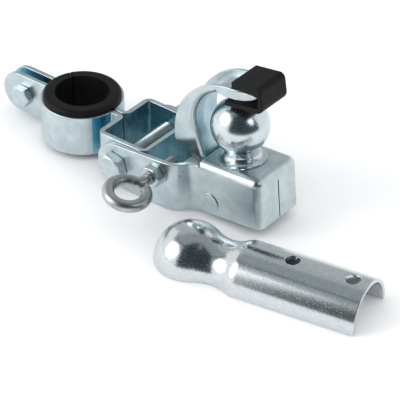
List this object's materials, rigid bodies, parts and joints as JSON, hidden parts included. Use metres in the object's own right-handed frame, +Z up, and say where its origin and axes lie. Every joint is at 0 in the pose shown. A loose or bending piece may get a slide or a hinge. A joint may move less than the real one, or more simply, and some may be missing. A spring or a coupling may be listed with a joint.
{
  "type": "bicycle trailer hitch",
  "caption": "Seat post clamp with a towing ball, sprung safety latch and eyebolt, and the trailer's chromed coupler shell beside it.",
  "frame": {"origin": "on the seat post's axis, level with the lower edge of the clamp strap", "axes": "+Z up along the seat post, +X rearward from the seat post to the towing ball, +Y to the side of the nuts"},
  "size_m": [0.2484, 0.0968, 0.0802],
  "materials": {
    "zinc_steel": "bright zinc plate",
    "chrome": "polished",
    "black_plastic": "matte moulded"
  },
  "bodies": {
    "clamp": {"clamp_strap": "zinc_steel", "bushing": "black_plastic", "ear_bolt": "zinc_steel", "ear_nut": "zinc_steel", "pivot_bolt": "zinc_steel", "pivot_washer": "zinc_steel", "pivot_nut": "zinc_steel", "coupler_shell": "chrome"},
    "carrier": {"carrier": "zinc_steel", "eyebolt": "zinc_steel", "eye_nut": "zinc_steel", "eye_washer": "zinc_steel", "ball": "chrome", "ball_washer": "zinc_steel", "ball_nut": "zinc_steel", "latch_pin": "zinc_steel", "latch_spring": "zinc_steel"},
    "latch": {"latch_yoke": "zinc_steel", "latch_cap": "black_plastic"}
  },
  "joints": [
    {"name": "carrier_tilt", "type": "hinge", "parent": "clamp", "child": "carrier", "pos_m": [0.0398, 0, 0.0092], "axis": [0, -1, 0], "range_deg": [-12, 10]},
    {"name": "latch_hinge", "type": "hinge", "parent": "carrier", "child": "latch", "pos_m": [0.09219, 0, 0.00582], "axis": [0, -1, 0], "range_deg": [0, 24], "stiffness_Nm_per_rad": 0.3, "springref_deg": -29.79, "deforming": ["latch_spring"]}
  ]
}
